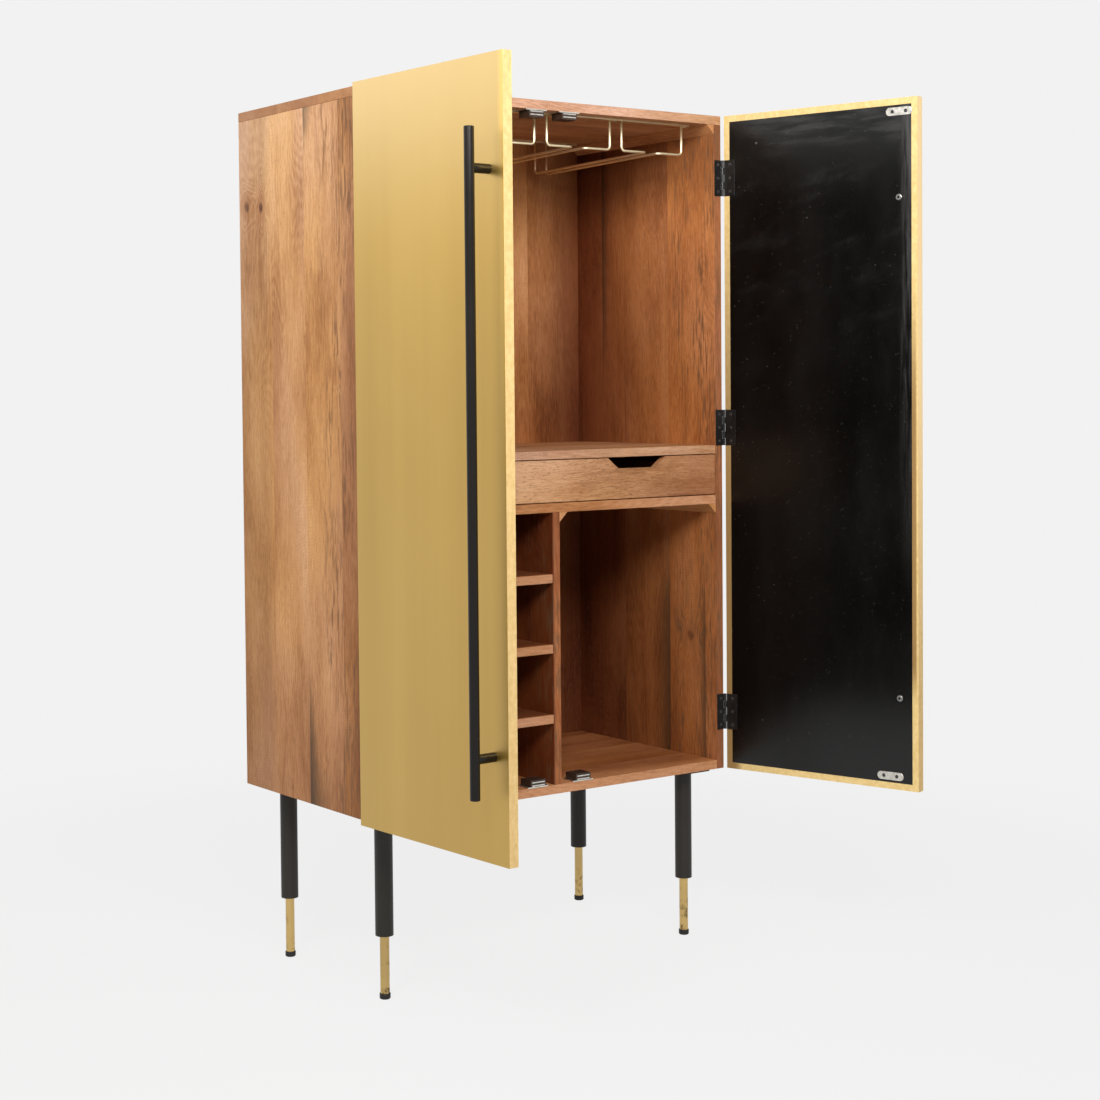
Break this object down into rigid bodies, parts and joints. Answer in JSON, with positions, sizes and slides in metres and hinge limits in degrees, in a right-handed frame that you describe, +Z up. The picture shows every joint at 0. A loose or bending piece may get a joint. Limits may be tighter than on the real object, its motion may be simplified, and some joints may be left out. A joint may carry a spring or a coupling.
{
  "type": "bar armoire",
  "caption": "Wooden bar cabinet on metal legs with brass-faced doors, stem rack, counter, drawer and bottle shelves; doors swing, drawer slides, feet level.",
  "frame": {"origin": "on the floor, under the middle of the case's width and depth", "axes": "+X to the right seen from the front, +Y to the back, +Z up; the closed doors face -Y"},
  "size_m": [1.0265, 0.8385, 1.575],
  "materials": {
    "case_wood": "satin, open grain",
    "drawer_wood": "plain sawn",
    "black_board": "black stain, satin",
    "brass_sheet": "brushed upright, satin",
    "brass_rod": "satin, scuffed",
    "brass_wire": "polished",
    "black_iron": "satin black",
    "black_hinge": "satin black",
    "nickel": "nickel plate",
    "catch_plastic": "moulded, matt",
    "glide_plastic": "moulded, matt"
  },
  "bodies": {
    "case": {"left_side": "case_wood", "right_side": "case_wood", "top_panel": "case_wood", "bottom_panel": "case_wood", "back_panel": "case_wood", "counter_shelf": "case_wood", "drawer_deck": "case_wood", "divider": "case_wood", "bottle_shelf_low": "case_wood", "bottle_shelf_middle": "case_wood", "bottle_shelf_high": "case_wood", "top_cleat_left": "case_wood", "top_cleat_right": "case_wood", "deck_cleat_divider": "case_wood", "deck_cleat_right": "case_wood", "rack_strip_front": "brass_wire", "rack_strip_rear": "brass_wire", "rack_wires_1": "brass_wire", "rack_wires_2": "brass_wire", "rack_wires_3": "brass_wire", "rack_wires_4": "brass_wire", "front_left_leg": "black_iron", "front_right_leg": "black_iron", "rear_left_leg": "black_iron", "rear_right_leg": "black_iron", "front_left_rod": "brass_rod", "front_right_rod": "brass_rod", "rear_left_rod": "brass_rod", "rear_right_rod": "brass_rod", "left_case_leaves": "black_hinge", "right_case_leaves": "black_hinge", "top_left_catch": "catch_plastic", "top_right_catch": "catch_plastic", "bottom_left_catch": "catch_plastic", "bottom_right_catch": "catch_plastic", "catch_poles": "nickel"},
    "left_door": {"left_door_leaves": "black_hinge", "left_door_core": "black_board", "left_door_skin": "brass_sheet", "left_handle": "black_iron", "left_handle_screws": "nickel", "left_strikes": "nickel"},
    "right_door": {"right_door_leaves": "black_hinge", "right_door_core": "black_board", "right_door_skin": "brass_sheet", "right_handle": "black_iron", "right_handle_screws": "nickel", "right_strikes": "nickel"},
    "drawer": {"drawer_front": "case_wood", "drawer_bottom": "drawer_wood", "drawer_left_side": "drawer_wood", "drawer_right_side": "drawer_wood", "drawer_back": "drawer_wood"},
    "front_left_foot": {"front_left_glide": "glide_plastic"},
    "front_right_foot": {"front_right_glide": "glide_plastic"},
    "rear_left_foot": {"rear_left_glide": "glide_plastic"},
    "rear_right_foot": {"rear_right_glide": "glide_plastic"}
  },
  "joints": [
    {"name": "left_door_hinge", "type": "hinge", "parent": "case", "child": "left_door", "pos_m": [-0.4055, -0.218, 0.95], "axis": [0, 0, -1], "range_deg": [-87.5, 92.5]},
    {"name": "right_door_hinge", "type": "hinge", "parent": "case", "child": "right_door", "pos_m": [0.4055, -0.218, 0.95], "axis": [0, 0, 1], "range_deg": [-106.2, 73.8]},
    {"name": "drawer_slide", "type": "slide", "parent": "case", "child": "drawer", "axis": [0, -1, 0], "range_m": [0, 0.3]},
    {"name": "front_left_foot_turn", "type": "hinge", "parent": "case", "child": "front_left_foot", "pos_m": [-0.344, -0.164, 0.02], "axis": [0, 0, 1], "continuous": true},
    {"name": "front_right_foot_turn", "type": "hinge", "parent": "case", "child": "front_right_foot", "pos_m": [0.344, -0.164, 0.02], "axis": [0, 0, 1], "continuous": true},
    {"name": "rear_left_foot_turn", "type": "hinge", "parent": "case", "child": "rear_left_foot", "pos_m": [-0.344, 0.164, 0.02], "axis": [0, 0, 1], "continuous": true},
    {"name": "rear_right_foot_turn", "type": "hinge", "parent": "case", "child": "rear_right_foot", "pos_m": [0.344, 0.164, 0.02], "axis": [0, 0, 1], "continuous": true}
  ]
}
